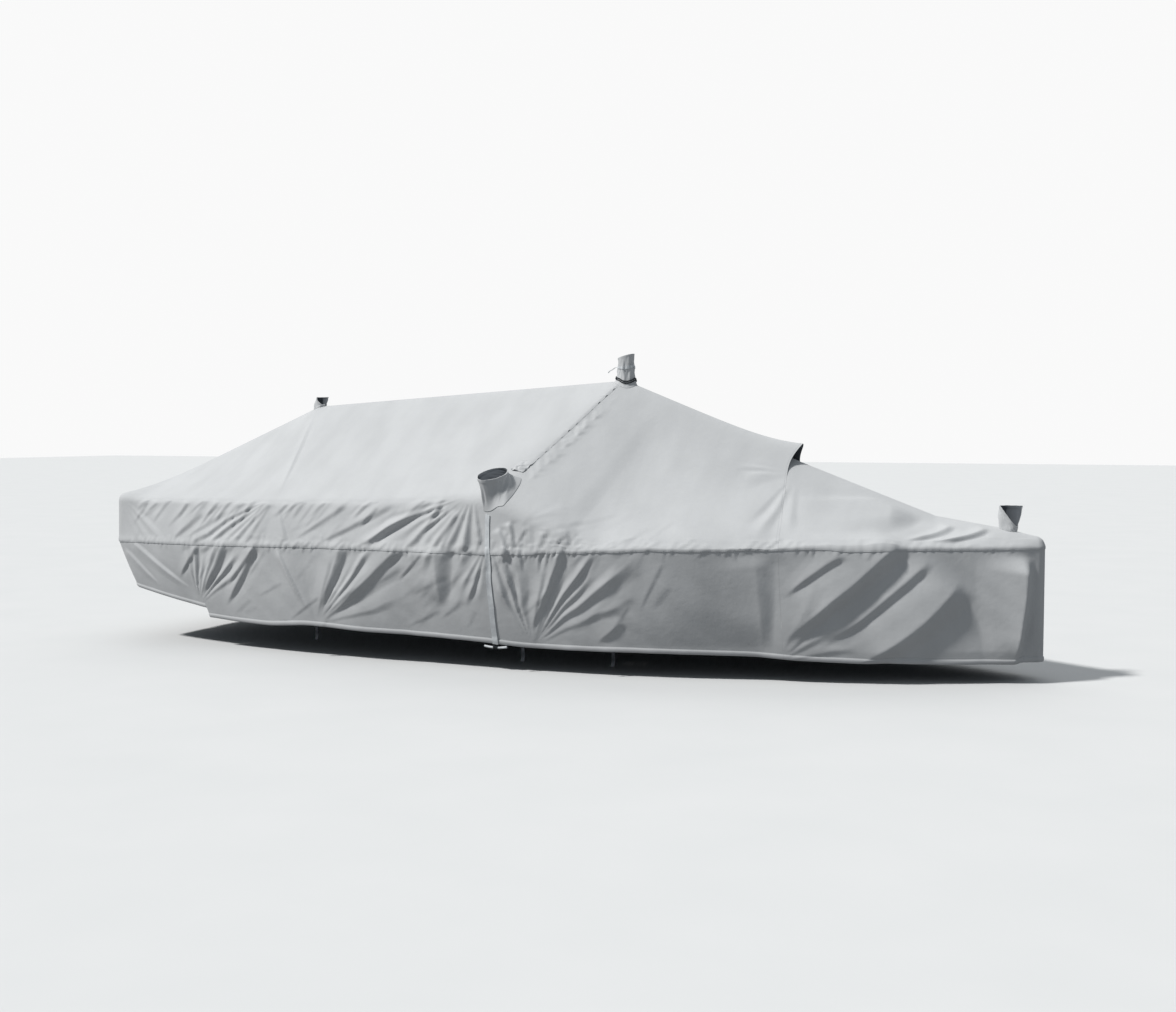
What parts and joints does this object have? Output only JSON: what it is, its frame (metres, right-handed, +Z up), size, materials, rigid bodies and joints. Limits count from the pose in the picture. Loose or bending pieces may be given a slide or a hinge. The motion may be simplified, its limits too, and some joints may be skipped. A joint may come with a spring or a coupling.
{
  "type": "boom cover of a small keelboat",
  "caption": "Tent-like canvas cover drawn over a boat's boom, with skirts to a rolled hem, a collar for the mast, boots for the wires and a peaked vent.",
  "frame": {"origin": "under the ridge of the cover, on the axis of the mast that passes through it", "axes": "+X to the bow, +Y to port, +Z up"},
  "size_m": [6.9313, 2.4367, 2.1089],
  "materials": {
    "canvas": "woven silver-grey canvas",
    "pale_webbing": "pale woven tape",
    "dark_webbing": "dark webbing"
  },
  "bodies": {
    "root": {"roof_aft": "canvas", "roof_mid": "canvas", "roof_bow": "canvas", "stern_gable": "canvas", "stern_skirt": "canvas", "mast_collar": "canvas", "forestay_boot": "canvas", "boom_end_boot": "canvas", "skirt_aft_starboard": "canvas", "skirt_mid_starboard": "canvas", "skirt_bow_starboard": "canvas", "closure_flap_starboard": "canvas", "shroud_boot_starboard": "canvas", "skirt_aft_port": "canvas", "skirt_mid_port": "canvas", "skirt_bow_port": "canvas", "closure_flap_port": "canvas", "shroud_boot_port": "canvas", "mast_collar_tie": "pale_webbing", "mast_collar_tie_tail": "pale_webbing", "closure_strap_starboard": "pale_webbing", "closure_cord_starboard": "pale_webbing", "closure_strap_port": "pale_webbing", "closure_cord_port": "pale_webbing", "mast_collar_drawcord": "dark_webbing", "hem_tab_1_starboard": "dark_webbing", "hem_tab_2_starboard": "dark_webbing", "hem_tab_3_starboard": "dark_webbing", "hem_tab_1_port": "dark_webbing", "hem_tab_2_port": "dark_webbing", "hem_tab_3_port": "dark_webbing"}
  },
  "joints": []
}
